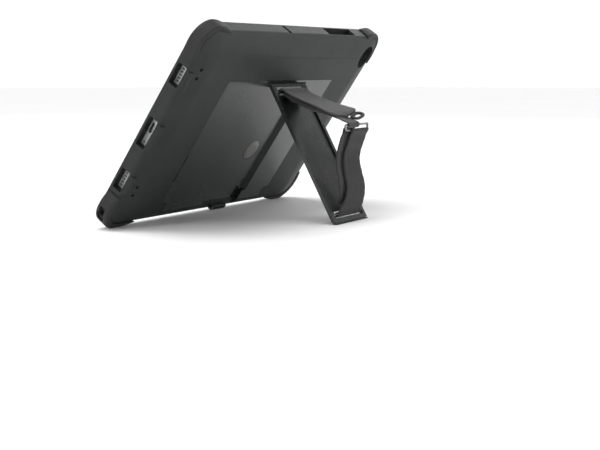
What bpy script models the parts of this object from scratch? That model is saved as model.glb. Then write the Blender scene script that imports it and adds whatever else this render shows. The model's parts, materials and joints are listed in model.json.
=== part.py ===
"""Rugged tablet data collector standing on its kickstand.

A tablet computer sits in a rubber case with hard corner bumpers.  A flat leg
with a hand strap folds out of the glossy back panel and props the case up.

Everything is modelled in the case's own frame: X along the long side, Y up the
short side, Z out of the screen, with the back's edge at Z = 0.  The case frame
is then leaned back by LEAN, and the leg frame hangs on the hinge, turned out by
LEG_OPEN.  Units are metres, world +Z is up and the floor is the plane Z = 0.
"""
import math

import bmesh
import bpy
from mathutils import Matrix, Vector

# ---------------------------------------------------------------- driving sizes
LEAN = math.radians(34.7)            # case leans back from the vertical
LEG_OPEN = math.radians(63.4)        # leg swings out of the back by this much
GAP = 0.0003                         # clearance between pieces that touch

CASE_X = 0.136                       # half length of the case
CASE_Y = 0.092                       # half height of the case
CASE_R = 0.016                       # radius of the case's corners
STAND_OFF = 0.0018                   # lower bumpers hold the case this far off the floor
RIM_Z = 0.015                        # front rim
BACK_Z = -0.0025                     # raised middle of the back
FLOOR_Z = 0.003                      # inside floor of the case

TABLET_X = 0.1285                    # half length of the tablet
TABLET_Y = 0.08435                   # half height of the tablet
TABLET_T = 0.0069                    # thickness of the tablet
TABLET_R = 0.0085
TABLET_Z = 0.0070                    # back face of the tablet
GLASS_T = 0.0008
RIM_CLEAR = 0.0008                   # rim stays this clear of the tablet

PANEL_X = 0.081                      # back panel: half length, top and bottom
PANEL_TOP = 0.0486
PANEL_BOTTOM = -0.0825
PANEL_IN = 0.0019                    # inner face of the back panel

LEG_X = -0.010                       # middle of the leg, along X
LEG_W = 0.0548
LEG_T = 0.0030
LEG_LONG = 0.1295                    # hinge to foot
HINGE_Y = 0.0445
HINGE_Z = BACK_Z + LEG_T / 2
PIN_R = 0.0008
POCKET_Z = HINGE_Z + LEG_T / 2 + 0.0006  # floor of the leg's pocket
RAMP_RUN = 0.0050                    # slope of the pocket's far side, across the case

STRAP_T = 0.0012
STRAP_X = -0.0015                    # strap slots sit a little off the leg's middle
BAR_R = 0.0008                       # bars that the strap is wrapped around
BAR_Z = -0.0002
SOLE_T = 0.0010
SLOT_TOP = 0.0075                    # strap slots, measured down the leg
SLOT_LOW = 0.1215
RING_TOP, RING_LOW = (0.0602, 0.0418), (0.0641, 0.0397)   # bars, down and out of the leg
RING_X, RING_WIRE = -0.0030, 0.0010
TAB_TWIST = math.radians(20)

CORNER_STEPS = 6                     # segments in each rounded corner

PORT_Y = -0.0025                     # middle of the charging port
SPEAKER_Y = (0.0480, -0.0505)
POWER_KEY = (-0.0775, 0.0055)        # (middle, half length) along the top side
VOLUME_KEY = (-0.0560, 0.0110)
CAMERA = (-0.1165, 0.0722)
CAMERA_HOLE = (-0.1215, 0.0720)      # the case's opening runs on towards its corner


# ---------------------------------------------------------------- scene helpers
def clear_scene():
    for obj in list(bpy.data.objects):
        bpy.data.objects.remove(obj, do_unlink=True)


def collection(name):
    group = bpy.data.collections.new(name)
    bpy.context.scene.collection.children.link(group)
    return group


def frame(name, parent=None, location=(0, 0, 0), turn_x=0.0):
    empty = bpy.data.objects.new(name, None)
    bpy.context.scene.collection.objects.link(empty)
    empty.location = location
    empty.rotation_euler = (turn_x, 0, 0)
    empty.parent = parent
    return empty


def material(name, colour, roughness, metallic=0.0):
    mat = bpy.data.materials.new(name)
    mat.use_nodes = True
    shader = mat.node_tree.nodes["Principled BSDF"]
    shader.inputs["Base Color"].default_value = (*colour, 1.0)
    shader.inputs["Roughness"].default_value = roughness
    shader.inputs["Metallic"].default_value = metallic
    return mat


clear_scene()
PARTS = collection("data_collector")
CUTTERS = collection("cutters")
GROUND = frame("ground_frame")
CASE = frame("case_frame", GROUND, (0, 0, CASE_Y * math.cos(LEAN) + STAND_OFF),
             math.pi / 2 - LEAN)
LEG = frame("leg_frame", CASE, (LEG_X, HINGE_Y, HINGE_Z), LEG_OPEN)

TPU = material("tpu", (0.030, 0.031, 0.033), 0.62)
TPU_HARD = material("tpu_hard", (0.036, 0.036, 0.037), 0.55)
PANEL_MAT = material("gloss_panel", (0.016, 0.018, 0.018), 0.22)
LEG_MAT = material("leg_plastic", (0.020, 0.022, 0.022), 0.26)
STEEL = material("steel", (0.62, 0.62, 0.63), 0.22, 1.0)
WEBBING = material("webbing", (0.012, 0.012, 0.013), 0.95)
ELASTIC = material("elastic", (0.030, 0.029, 0.028), 0.92)
BAND_MAT = material("band", (0.14, 0.14, 0.145), 0.6)
GEL = material("gel_blue", (0.22, 0.50, 0.85), 0.45)
FOAM = material("foam", (0.05, 0.045, 0.042), 0.98)
ALUMINIUM = material("aluminium", (0.55, 0.55, 0.56), 0.35, 1.0)
GLASS = material("cover_glass", (0.010, 0.010, 0.012), 0.05)
DISPLAY = material("display", (0.03, 0.03, 0.035), 0.3)
CELL = material("battery_wrap", (0.06, 0.06, 0.065), 0.5)
BOARD = material("circuit_board", (0.015, 0.09, 0.045), 0.5)
SHIELD = material("shield_can", (0.6, 0.6, 0.6), 0.3, 1.0)
DARK = material("dark_plastic", (0.02, 0.02, 0.02), 0.5)


def add(name, mesh, parent, mat=None, smooth=True):
    """Link a mesh as a named piece of the part, or as a cutter if it has no material."""
    obj = bpy.data.objects.new(name, mesh)
    obj.parent = parent
    if mat is None:
        CUTTERS.objects.link(obj)
        obj.hide_render = True
        obj.display_type = "WIRE"
        return obj
    PARTS.objects.link(obj)
    mesh.materials.append(mat)
    if smooth:
        mesh.shade_smooth()
        mesh.set_sharp_from_angle(angle=math.radians(35))
    return obj


def to_mesh(bm, name):
    bmesh.ops.recalc_face_normals(bm, faces=bm.faces)
    mesh = bpy.data.meshes.new(name)
    bm.to_mesh(mesh)
    bm.free()
    return mesh


def boolean(obj, other, operation="DIFFERENCE"):
    mod = obj.modifiers.new(other.name, "BOOLEAN")
    mod.operation = operation
    mod.object = other
    mod.solver = "EXACT"


def bevel(obj, width, segments=2, angle=40):
    mod = obj.modifiers.new("rounded_edges", "BEVEL")
    mod.width = width
    mod.segments = segments
    mod.angle_limit = math.radians(angle)


# ---------------------------------------------------------------- shape helpers
def rounded_rect(half_x, half_y, radius, centre=(0, 0), steps=CORNER_STEPS):
    """Corner-rounded rectangle as a counter-clockwise list of points."""
    points = []
    signs = ((1, 1), (-1, 1), (-1, -1), (1, -1))
    for corner, (sx, sy) in enumerate(signs):
        cx = centre[0] + sx * (half_x - radius)
        cy = centre[1] + sy * (half_y - radius)
        for step in range(steps + 1):
            angle = math.pi / 2 * (corner + step / steps)
            points.append((cx + radius * math.cos(angle), cy + radius * math.sin(angle)))
    return points


def loft_mesh(name, sections):
    """Closed solid through equal-length sections of 3-D points, capped at both ends."""
    bm = bmesh.new()
    rings = [[bm.verts.new(point) for point in section] for section in sections]
    count = len(rings[0])
    for lower, upper in zip(rings, rings[1:]):
        for i in range(count):
            j = (i + 1) % count
            bm.faces.new((lower[i], lower[j], upper[j], upper[i]))
    bm.faces.new(rings[0])
    bm.faces.new(rings[-1])
    bmesh.ops.triangulate(bm, faces=[f for f in bm.faces if len(f.verts) > 4])
    return to_mesh(bm, name)


def loft(name, sections, parent, mat=None):
    return add(name, loft_mesh(name, sections), parent, mat)


def box(name, low, high, parent, mat=None, turn=None):
    """Box between two corners; turn is an optional rotation about its own centre."""
    low, high = Vector(low), Vector(high)
    bm = bmesh.new()
    bmesh.ops.create_cube(bm, size=1.0)
    bmesh.ops.scale(bm, vec=high - low, verts=bm.verts)
    obj = add(name, to_mesh(bm, name), parent, mat)
    obj.location = (low + high) / 2
    if turn:
        obj.rotation_euler = turn
    return obj


def rod(name, radius, start, end, parent, mat=None, sides=16, end_radius=None):
    """Cylinder, or cone with end_radius, between two points."""
    start, end = Vector(start), Vector(end)
    span = end - start
    bm = bmesh.new()
    last = radius if end_radius is None else end_radius
    bmesh.ops.create_cone(bm, cap_ends=True, segments=sides, radius1=radius,
                          radius2=last, depth=span.length)
    obj = add(name, to_mesh(bm, name), parent, mat)
    obj.rotation_euler = span.to_track_quat("Z", "Y").to_euler()
    obj.location = (start + end) / 2
    return obj


def flat_mesh(name, outlines, low, high):
    """Extruded flat outline (the first list of points) with holes (the others)."""
    curve = bpy.data.curves.new(name, "CURVE")
    curve.dimensions = "2D"
    curve.fill_mode = "BOTH"
    curve.extrude = (high - low) / 2
    for outline in outlines:
        spline = curve.splines.new("POLY")
        spline.points.add(len(outline) - 1)
        for point, (x, y) in zip(spline.points, outline):
            point.co = (x, y, 0, 1)
        spline.use_cyclic_u = True
    source = bpy.data.objects.new(name, curve)
    CUTTERS.objects.link(source)
    graph = bpy.context.evaluated_depsgraph_get()
    mesh = bpy.data.meshes.new_from_object(source.evaluated_get(graph))
    bpy.data.objects.remove(source, do_unlink=True)
    bpy.data.curves.remove(curve)
    bm = bmesh.new()
    bm.from_mesh(mesh)
    bmesh.ops.remove_doubles(bm, verts=bm.verts, dist=1e-6)
    bmesh.ops.translate(bm, vec=(0, 0, (low + high) / 2), verts=bm.verts)
    bmesh.ops.recalc_face_normals(bm, faces=bm.faces)
    bm.to_mesh(mesh)
    bm.free()
    mesh.name = name
    mesh.materials.clear()
    return mesh


def flat(name, outlines, low, high, parent, mat=None):
    return add(name, flat_mesh(name, outlines, low, high), parent, mat)


def smooth_path(points, count):
    """Catmull-Rom curve through hand-set points, resampled to count stations."""
    rows = [Vector(p) for p in points]
    rows = [2 * rows[0] - rows[1]] + rows + [2 * rows[-1] - rows[-2]]
    result = []
    spans = len(rows) - 3
    for i in range(count):
        place = i / (count - 1) * spans
        k = min(int(place), spans - 1)
        t = place - k
        a, b, c, d = rows[k:k + 4]
        result.append(0.5 * (2 * b + (c - a) * t + (2 * a - 5 * b + 4 * c - d) * t ** 2
                             + (3 * b - 3 * c + d - a) * t ** 3))
    return result


def ribbon(name, points, thickness, parent, mat, count, twist=0.0, twisted=0):
    """Flat strap.  Each point is (down the leg, out of the leg, strap middle, half width).

    The first stations, as many as twisted says, roll up to twist radians about the strap.
    """
    stations = smooth_path(points, count)
    sections = []
    for i, (down, out, middle, half) in enumerate(stations):
        before = stations[max(i - 1, 0)]
        after = stations[min(i + 1, count - 1)]
        run = Vector((after[0] - before[0], after[1] - before[1])).normalized()
        side = Vector((-run.y, run.x))
        roll = twist * max(0.0, 1 - i / twisted) ** 2 if twisted else 0.0
        section = []
        for sx, sz in ((1, 1), (-1, 1), (-1, -1), (1, -1)):
            across, lift = sx * half, sz * thickness / 2
            proud = lift * math.cos(roll) + across * math.sin(roll)
            section.append((middle + across * math.cos(roll) - lift * math.sin(roll),
                            -(down + proud * side.x), -(out + proud * side.y)))
        sections.append(section)
    return loft(name, sections, parent, mat)


# ---------------------------------------------------------------- case
def outline_section(half_x, half_y, radius, z, centre=(0, 0)):
    return [(x, y, z) for x, y in rounded_rect(half_x, half_y, radius, centre)]


def shell_body():
    """Tray-shaped rubber case: back, side wall, front rim, inside wall, sloped floor."""
    in_x = TABLET_X + RIM_CLEAR
    in_y = TABLET_Y + RIM_CLEAR
    in_r = TABLET_R + RIM_CLEAR
    sections = [
        outline_section(0.114, 0.0775, 0.010, BACK_Z, (0, -0.0065)),
        outline_section(CASE_X - 0.0035, CASE_Y - 0.0035, CASE_R - 0.003, 0.0008),
        outline_section(CASE_X - 0.0008, CASE_Y - 0.0008, CASE_R - 0.0005, 0.0024),
        outline_section(CASE_X, CASE_Y, CASE_R, 0.0042),
        outline_section(CASE_X, CASE_Y, CASE_R, RIM_Z - 0.0010),
        outline_section(CASE_X - 0.0004, CASE_Y - 0.0004, CASE_R - 0.0003, RIM_Z - 0.0003),
        outline_section(CASE_X - 0.0014, CASE_Y - 0.0014, CASE_R - 0.0012, RIM_Z),
        outline_section(in_x + 0.0008, in_y + 0.0008, in_r + 0.0005, RIM_Z),
        outline_section(in_x, in_y, in_r, RIM_Z - 0.0009),
        outline_section(in_x, in_y, in_r, TABLET_Z - 0.0002),
        outline_section(in_x - 0.002, in_y - 0.002, in_r - 0.001, TABLET_Z - 0.0008),
        outline_section(0.086, 0.054, 0.008, FLOOR_Z),
    ]
    return loft("case_shell", sections, CASE, TPU)


def trough_cutter():
    """Spaces between the ribs that carry the tablet's edge, as one set of wedges."""
    bm = bmesh.new()
    wall_x = TABLET_X - 0.0015
    wall_y = TABLET_Y - 0.0015
    rib = 0.0008
    low, high = FLOOR_Z + 0.0003, TABLET_Z + 0.004

    def wedge(quad):
        rings = [[bm.verts.new((x, y, z)) for x, y in quad] for z in (low, high)]
        for i in range(4):
            j = (i + 1) % 4
            bm.faces.new((rings[0][i], rings[0][j], rings[1][j], rings[1][i]))
        bm.faces.new(rings[0])
        bm.faces.new(rings[1])

    long_edges = [-0.092 + 0.0184 * k for k in range(11)]
    for side in (-1, 1):
        for a, b in zip(long_edges, long_edges[1:]):
            a, b = a + rib, b - rib
            inner_a, inner_b = 0.76 * a, 0.76 * b
            wedge([(a, side * wall_y), (b, side * wall_y),
                   (inner_b, side * 0.056), (inner_a, side * 0.056)])
    short_edges = [-0.054 + 0.018 * k for k in range(7)]
    for side in (-1, 1):
        for a, b in zip(short_edges, short_edges[1:]):
            a, b = a + rib, b - rib
            wedge([(side * wall_x, a), (side * wall_x, b),
                   (side * 0.090, 0.62 * b), (side * 0.090, 0.62 * a)])
    return add("trough_cutter", to_mesh(bm, "trough_cutter"), CASE)


def side_cut(name, y_low, y_high, side, z_low=0.0036, z_high=0.0124):
    """Opening through a short side wall, with a lead-in on the outside towards the back."""
    inner = TABLET_X - 0.0005
    cut = box(name, (side * inner, y_low, z_low), (side * 0.142, y_high, z_high), CASE)
    return cut


def panel_outline(grow=0.0):
    """Back panel: square top, and both bottom corners stepped in."""
    x, top, low = PANEL_X + grow, PANEL_TOP + grow, PANEL_BOTTOM - grow
    return [(x, top), (-x, top), (-x, -0.0710), (-x + 0.0075, -0.0728),
            (-x + 0.0075, low), (x - 0.0075, low), (x - 0.0075, -0.0728), (x, -0.0710)]


def anchor_cutter(name, sx, sy):
    """Straight tunnel across a corner, for a shoulder-strap cord."""
    centre = Vector((sx * (CASE_X - CASE_R), sy * (CASE_Y - CASE_R), 0.0075))
    outward = Vector((sx, sy, 0)).normalized()
    middle = centre + outward * 0.0165
    angle = math.atan2(sy, sx)
    half = Vector((0.0018, 0.018, 0.0030))
    return box(name, middle - half, middle + half, CASE, turn=(0, 0, angle))


def make_case_shell():
    shell = shell_body()
    boolean(shell, trough_cutter())
    recess = flat("panel_recess", [panel_outline(GAP)], -0.010, PANEL_IN + GAP, CASE)
    boolean(shell, recess)
    boolean(shell, box("inner_window", (-0.070, -0.040, -0.01), (0.070, 0.040, 0.01), CASE))
    boolean(shell, box("foot_notch", (LEG_X - 0.0278, -0.0900, -0.010),
                       (LEG_X + 0.0278, -0.0820, POCKET_Z), CASE))
    boolean(shell, side_cut("usb_cut", -0.0180, 0.0080, 1))
    for side in (-1, 1):
        tag = "right" if side > 0 else "left"
        boolean(shell, side_cut("speaker_cut_top_" + tag, 0.0390, 0.0570, side))
        boolean(shell, side_cut("speaker_cut_low_" + tag, -0.0595, -0.0410, side))
    boolean(shell, box("key_cut", (-0.0885, 0.0840, 0.0036), (-0.0420, 0.098, 0.0130), CASE))
    boolean(shell, box("top_slot", (0.0195, 0.0840, 0.0030), (0.0235, 0.098, 0.0130), CASE))
    camera_x, camera_y = CAMERA_HOLE
    boolean(shell, rod("camera_cut", 0.0117, (camera_x, camera_y, -0.004),
                       (camera_x, camera_y, 0.010), CASE, sides=28, end_radius=0.0096))
    for i, y in enumerate((0.0590, 0.0510, -0.0520, -0.0600)):
        boolean(shell, rod("cord_hole_%d" % (i + 1), 0.0015, (0.1245, y, -0.004),
                           (0.1245, y, 0.010), CASE, sides=10))
    return shell


def bumper_path(sx, sy):
    """Stations along one case corner: point on the side wall, outward normal, thickness."""
    lower = sy < 0
    arm_x, arm_y = (0.020 if lower else 0.011), 0.012
    thick, swell = (0.0044, 0.0008) if lower else (0.0030, 0.0006)
    cx, cy = CASE_X - CASE_R, CASE_Y - CASE_R
    stations = [((cx - arm_x, CASE_Y), (0, 1), 0.0012),
                ((cx - arm_x / 2, CASE_Y), (0, 1), thick * 0.8)]
    arc_steps = 8
    for k in range(arc_steps + 1):
        angle = math.pi / 2 * (1 - k / arc_steps)
        normal = (math.cos(angle), math.sin(angle))
        point = (cx + CASE_R * normal[0], cy + CASE_R * normal[1])
        stations.append((point, normal, thick + swell * math.sin(2 * angle)))
    stations += [((CASE_X, cy - arm_y / 2), (1, 0), thick * 0.8),
                 ((CASE_X, cy - arm_y), (1, 0), 0.0012)]
    return [((sx * p[0], sy * p[1]), (sx * n[0], sy * n[1]), t) for p, n, t in stations]


def make_bumper(name, sx, sy):
    """Thick corner cap that hugs the shell's side and the edge of its back."""
    sections = []
    for (px, py), (nx, ny), thick in bumper_path(sx, sy):
        profile = ((GAP, RIM_Z - 0.0022), (thick - 0.0006, RIM_Z - 0.0024),
                   (thick, RIM_Z - 0.0034), (thick, 0.0022), (thick - 0.0012, 0.0004),
                   (thick * 0.3 - 0.0016, -0.0006), (-0.0016, 0.0004),
                   (-0.0008 + GAP, 0.0021), (GAP, 0.0042))
        sections.append([(px + nx * d, py + ny * d, z) for d, z in profile])
    return loft(name, sections, CASE, TPU_HARD)


def make_bumpers(shell):
    """Four corner bumpers; the lower two are trimmed flat where they stand."""
    floor_cut = box("floor_cut", (-0.2, -0.2, -0.05), (0.2, 0.2, 0.0), GROUND)
    for label, sx, sy in (("top_right", 1, 1), ("top_left", -1, 1),
                          ("bottom_left", -1, -1), ("bottom_right", 1, -1)):
        bumper = make_bumper("bumper_" + label, sx, sy)
        tunnel = anchor_cutter("anchor_" + label, sx, sy)
        boolean(bumper, tunnel)
        boolean(shell, tunnel)
        if sy < 0:
            boolean(bumper, floor_cut)


def make_back_panel():
    """Hard glossy panel with the leg's pocket, hinge bores and a finger notch."""
    panel = flat("back_panel", [panel_outline()], BACK_Z, PANEL_IN, CASE, PANEL_MAT)
    pocket_half = LEG_W / 2 + 0.0005
    boolean(panel, box("pocket_cut", (LEG_X - pocket_half, -0.090, -0.010),
                       (LEG_X + pocket_half, HINGE_Y + 0.0021, POCKET_Z), CASE))
    ramp = [(LEG_X - pocket_half + 0.001, POCKET_Z), (LEG_X - pocket_half, POCKET_Z),
            (LEG_X - pocket_half - RAMP_RUN, BACK_Z), (LEG_X - pocket_half - RAMP_RUN, -0.010),
            (LEG_X - pocket_half + 0.001, -0.010)]
    boolean(panel, loft("ramp_cut", [[(x, y, z) for x, z in ramp]
                                     for y in (-0.0725, HINGE_Y - 0.0060)], CASE))
    boolean(panel, rod("hinge_bore", PIN_R + 0.0002, (LEG_X - 0.0325, HINGE_Y, HINGE_Z),
                       (LEG_X + 0.0325, HINGE_Y, HINGE_Z), CASE, sides=12))
    boolean(panel, box("finger_notch", (LEG_X - 0.026, -0.090, -0.010),
                       (LEG_X + 0.026, -0.0620, POCKET_Z + 0.0002), CASE))
    boolean(panel, rod("magnet_seat", 0.0100, (-0.0195, -0.0280, -0.002),
                       (-0.0195, -0.0280, POCKET_Z + 0.0005), CASE, sides=28))
    for tag, low_x, high_x in (("right", 0.0215, 0.0785), ("left", -0.0785, -0.0450)):
        boolean(panel, box("panel_core_" + tag, (low_x, -0.0680, -0.0009),
                           (high_x, 0.0460, 0.010), CASE))
    boolean(panel, box("pry_gap", (PANEL_X - 0.0008, -0.050, -0.010),
                       (PANEL_X + 0.002, -0.024, -0.0008), CASE))
    rod("stand_magnet", 0.0095, (-0.0195, -0.0280, POCKET_Z - 0.0003),
        (-0.0195, -0.0280, POCKET_Z + 0.0003), CASE, STEEL, sides=28)
    rod("hinge_pin", PIN_R, (LEG_X - 0.0322, HINGE_Y, HINGE_Z),
        (LEG_X + 0.0322, HINGE_Y, HINGE_Z), CASE, STEEL, sides=12)
    return panel


def make_bottom_loop():
    """Small moulded loop under the bottom edge that the folded foot clips behind."""
    outline = rounded_rect(0.0115, 0.0021, 0.0018, (-0.0130, -0.0887), 3)
    hole = rounded_rect(0.0085, 0.0008, 0.0006, (-0.0130, -0.0887), 2)
    flat("bottom_loop", [outline, hole], BACK_Z - 0.0005, 0.0005, CASE, LEG_MAT)


def band_body(name, extra, mat=None):
    """Rounded frame that ties the dampers together, with a tail towards each corner."""
    low = FLOOR_Z + GAP - 4 * extra
    top = FLOOR_Z + 0.0010 + extra
    ring = [rounded_rect(0.0800 + extra, 0.0470 + extra, 0.006, steps=3),
            rounded_rect(0.0745 - extra, 0.0415 - extra, 0.004, steps=3)]
    band = flat(name, ring, low, top, CASE, mat)
    for sx in (-1, 1):
        for sy in (-1, 1):
            tail = tail_box(name, sx, sy, extra)
            boolean(band, tail, "UNION")
    return band


def tail_box(name, sx, sy, extra):
    """Sloping tail that climbs from the band's corner onto the case's sloped floor."""
    start = Vector((sx * 0.0770, sy * 0.0440, FLOOR_Z + 0.00065))
    end = Vector((sx * 0.0990, sy * 0.0600, FLOOR_Z + 0.0028))
    middle, run = (start + end) / 2, end - start
    half = Vector((run.length / 2, 0.0030 + extra, 0.00035 + extra))
    bm = bmesh.new()
    bmesh.ops.create_cube(bm, size=2.0)
    bmesh.ops.scale(bm, vec=half, verts=bm.verts)
    tail = add("tail_%s_%d_%d" % (name, sx, sy), to_mesh(bm, "tail"), CASE)
    tail.location = middle
    tail.rotation_euler = run.to_track_quat("X", "Z").to_euler()
    return tail


def make_shock_frame():
    """Inner plate, grey band and the four gel dampers."""
    flat("inner_plate", [rounded_rect(0.0740, 0.0410, 0.0035, steps=3)],
         FLOOR_Z + GAP, FLOOR_Z + 0.0009, CASE, PANEL_MAT)
    band_body("shock_band", 0.0, BAND_MAT)
    clearance = band_body("band_clearance", GAP)
    for sx in (-1, 1):
        for sy in (-1, 1):
            name = "damper_%s_%s" % ("top" if sy > 0 else "bottom", "right" if sx > 0 else "left")
            boolean(make_damper(name, sx, sy), clearance)


def make_damper(name, sx, sy):
    """Blue gel block: a blunt arrow that points at the case's corner."""
    quarter = ((0.0135, 0.0030), (0.0100, 0.0120), (0.0020, 0.0135), (-0.0150, 0.0105),
               (-0.0170, -0.0020), (-0.0090, -0.0115), (0.0070, -0.0120))
    points = [(sx * (0.0765 + x), sy * (0.0430 + y)) for x, y in quarter]
    return flat(name, [points], FLOOR_Z + 0.0012, TABLET_Z - GAP, CASE, GEL)


def make_centre_pad():
    """Foam pad with a notch that shows two steel discs on a plate."""
    left, right, low, top = -0.026, 0.030, -0.022, 0.028
    notch_l, notch_r, notch_y = -0.0135, 0.0215, -0.0070
    cut = 0.003
    outline = [(left, top), (left, low + cut), (left + cut, low), (notch_l, low),
               (notch_l, notch_y - cut), (notch_l + cut, notch_y), (notch_r - cut, notch_y),
               (notch_r, notch_y - cut), (notch_r, low), (right - cut, low),
               (right, low + cut), (right, top)]
    plate_top = FLOOR_Z + 0.0009
    flat("foam_pad", [outline], plate_top + GAP, TABLET_Z - GAP, CASE, FOAM)
    flat("hub_plate", [rounded_rect(0.0165, 0.0062, 0.003, (0.004, -0.0152), 2)],
         plate_top + GAP, plate_top + 0.0009, CASE, STEEL)
    for tag, x in (("left", -0.0042), ("right", 0.0122)):
        rod("hub_disc_" + tag, 0.0057, (x, -0.0145, plate_top + 0.0009 + GAP),
            (x, -0.0145, plate_top + 0.0021), CASE, STEEL, sides=20)


# ---------------------------------------------------------------- leg and strap
def make_leg():
    """Flat leg: hinge barrel, shallow tray with raised rims, two strap slots, flat foot."""
    half = LEG_W / 2
    skin = LEG_T / 2
    foot_low = -LEG_LONG - 0.006
    outline = [(-skin, 0.0), (-skin, foot_low), (skin, foot_low), (skin, 0.0)]
    barrel_steps = 6
    for k in range(1, barrel_steps):
        angle = math.pi * k / barrel_steps
        outline.append((skin * math.cos(angle), skin * math.sin(angle)))
    sections = [[(x, y, -out) for out, y in outline] for x in (-half, half)]
    leg = loft("stand_leg", sections, LEG, LEG_MAT)
    rim = 0.0038
    boolean(leg, box("tray_cut", (-half + rim, -LEG_LONG + 0.0045, -0.010),
                     (half - rim, -SLOT_TOP + 0.0034, -skin + 0.0014), LEG))
    for tag, down, foot_side in (("top", SLOT_TOP, 0.0032), ("low", SLOT_LOW, 0.0027)):
        boolean(leg, box("strap_slot_" + tag, (STRAP_X - 0.0214, -down - foot_side, -0.010),
                         (STRAP_X + 0.0214, -down + 0.0032, 0.010), LEG))
        ends = (STRAP_X - 0.0236, STRAP_X + 0.0236)
        boolean(leg, rod("bar_seat_" + tag, BAR_R + 0.0002, (ends[0] - GAP, -down, BAR_Z),
                         (ends[1] + GAP, -down, BAR_Z), LEG, sides=10))
        rod("strap_bar_" + tag, BAR_R, (ends[0], -down, BAR_Z), (ends[1], -down, BAR_Z),
            LEG, STEEL, sides=10)
    boolean(leg, rod("leg_bore", PIN_R + 0.0001, (-0.04, 0, 0), (0.04, 0, 0), LEG, sides=12))
    boolean(leg, box("sole_cut", (-0.1, 0.0, -0.05), (0.1, 0.2, SOLE_T + GAP), GROUND))
    return leg


def foot_reach():
    """World Y of the leg's middle plane where it meets the floor."""
    hinge_y = HINGE_Y * math.sin(LEAN) - HINGE_Z * math.cos(LEAN)
    hinge_z = STAND_OFF + (CASE_Y + HINGE_Y) * math.cos(LEAN) + HINGE_Z * math.sin(LEAN)
    return hinge_y + hinge_z * math.tan(LEG_OPEN - LEAN)


def make_foot_pad():
    """Rubber sole bonded across the bottom of the leg, flat on the floor."""
    reach = foot_reach()
    half = LEG_W / 2 - 0.0010
    pad = box("foot_pad", (LEG_X - half, reach - 0.0019, 0.0),
              (LEG_X + half, reach + 0.0022, SOLE_T), GROUND, TPU_HARD)
    bevel(pad, 0.0002, 1)


def wrap_points(down, first, middle, half):
    """Half turn of strap round a leg bar; first is +1 to start on the foot's side."""
    reach = BAR_R + 0.0003 + STRAP_T / 2
    bar_out = -BAR_Z
    turn = ((1.0, 0.0), (0.7, -0.6), (0.0, -0.86), (-0.7, -0.6), (-1.0, 0.0))
    return [(down + first * a * reach, bar_out + b * reach, middle, half) for a, b in turn]


def make_webbing():
    """Long dark strap: pull-tab end, round the top bar, through the ring, to the foot."""
    wide, slim, slim_x = 0.0202, 0.0105, 0.0060
    bunched, bunched_x = 0.0096, 0.0051
    points = [(0.0508, 0.0420, STRAP_X, 0.0072), (0.0495, 0.0406, STRAP_X, 0.0100),
              (0.0470, 0.0380, STRAP_X, 0.0165), (0.0430, 0.0340, STRAP_X, wide),
              (0.0355, 0.0268, STRAP_X, wide), (0.0285, 0.0202, STRAP_X, wide),
              (0.0210, 0.0132, STRAP_X, wide), (0.0130, 0.0066, STRAP_X, wide),
              (SLOT_TOP - 0.0008, 0.0030, STRAP_X, wide)]
    points += wrap_points(SLOT_TOP, -1, STRAP_X, wide)
    points += [(SLOT_TOP + 0.0036, 0.0022, STRAP_X, wide), (0.0180, 0.0062, 0.0005, 0.0190),
               (0.0260, 0.0120, 0.0020, 0.0165), (0.0350, 0.0198, 0.0035, 0.0140),
               (0.0440, 0.0294, 0.0045, 0.0112), (0.0510, 0.0364, bunched_x, bunched),
               (0.0567, 0.0413, bunched_x, bunched)]
    turn = RING_WIRE + 0.0003 + STRAP_T / 2
    for degrees in (130, 95, 60, 25, -10, -35):
        angle = math.radians(degrees)
        points.append((RING_TOP[0] + turn * math.cos(angle),
                       RING_TOP[1] + turn * math.sin(angle), bunched_x, bunched))
    points += [(0.0613, 0.0392, bunched_x, bunched), (0.0617, 0.0378, bunched_x, bunched),
               (0.0631, 0.0365, bunched_x, bunched), (0.0652, 0.0349, 0.0055, 0.0100),
               (0.0680, 0.0322, slim_x, slim), (0.0715, 0.0286, slim_x, slim),
               (0.0765, 0.0238, slim_x, slim), (0.0835, 0.0192, slim_x, slim),
               (0.0930, 0.0160, slim_x, slim), (0.1015, 0.0130, slim_x, slim),
               (0.1085, 0.0088, slim_x, slim), (0.1140, 0.0040, slim_x, slim)]
    ribbon("strap_webbing", points, STRAP_T, LEG, WEBBING, 112, TAB_TWIST, 16)


def make_elastic():
    """Elastic band from the ring's lower bar down to the foot's slot."""
    narrow, band_x = 0.0144, -0.0060
    points = [(0.0638, 0.0418, band_x, narrow), (0.0655, 0.0413, band_x, narrow),
              (0.0666, 0.0396, band_x, narrow), (0.0686, 0.0367, band_x, narrow),
              (0.0725, 0.0325, band_x, narrow), (0.0772, 0.0270, band_x, narrow),
              (0.0840, 0.0218, band_x, narrow), (0.0940, 0.0184, band_x, 0.0153),
              (0.1030, 0.0158, -0.0065, 0.0158), (0.1105, 0.0122, -0.0050, 0.0168),
              (0.1160, 0.0078, -0.0030, 0.0185), (0.1190, 0.0046, -0.0020, 0.0198),
              (0.1206, 0.0028, STRAP_X, 0.0202), (SLOT_LOW + 0.0005, 0.0021, STRAP_X, 0.0202),
              (SLOT_LOW + 0.0014, 0.0013, STRAP_X, 0.0202)]
    points += wrap_points(SLOT_LOW, 1, STRAP_X, 0.0202)
    ribbon("strap_elastic", points, STRAP_T, LEG, ELASTIC, 48)


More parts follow.
